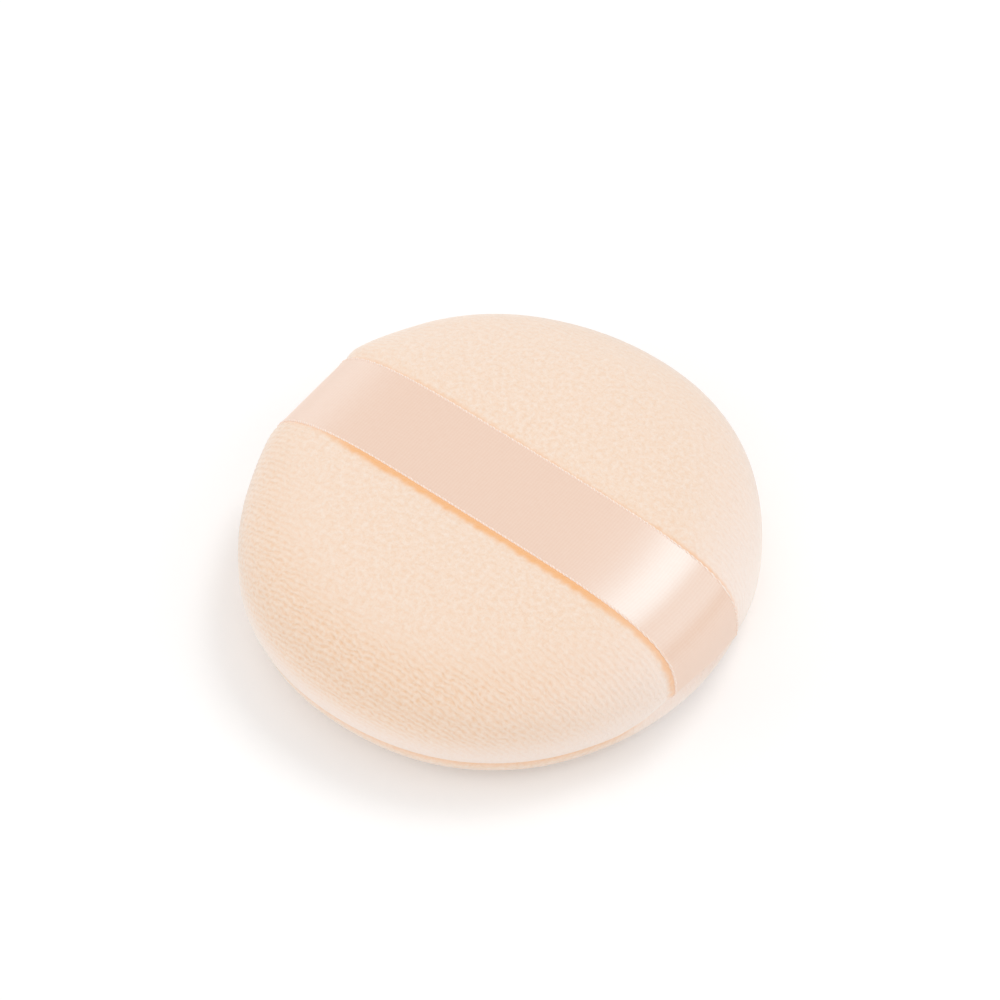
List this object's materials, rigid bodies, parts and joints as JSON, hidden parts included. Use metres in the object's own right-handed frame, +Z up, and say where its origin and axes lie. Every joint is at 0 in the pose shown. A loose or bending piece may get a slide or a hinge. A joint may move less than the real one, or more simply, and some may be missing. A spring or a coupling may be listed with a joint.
{
  "type": "powder puff",
  "caption": "Round velour powder puff: a soft foam pad sewn between two plush covers, with a flat satin ribbon across the back to slip the fingers under.",
  "frame": {"origin": "middle of the resting face, on the surface that the puff lies on", "axes": "+Z up through the crown of the back, X along the ribbon, Y across it"},
  "size_m": [0.0768, 0.0808, 0.0237],
  "materials": {
    "velour": "cut-pile cotton velour",
    "foam": "open-cell sponge",
    "satin": "woven satin, sheen along the ribbon",
    "thread": "spun polyester thread"
  },
  "bodies": {
    "pad": {"face_cover": "velour", "back_cover": "velour", "foam_core": "foam", "ribbon_tail_left": "satin", "ribbon_tail_right": "satin", "seam_thread": "thread", "closing_thread": "thread"},
    "ribbon": {"finger_ribbon": "satin"}
  },
  "joints": [
    {"name": "ribbon_lift", "type": "slide", "parent": "pad", "child": "ribbon", "axis": [0, 0, 1], "range_m": [0, 0.005]}
  ]
}
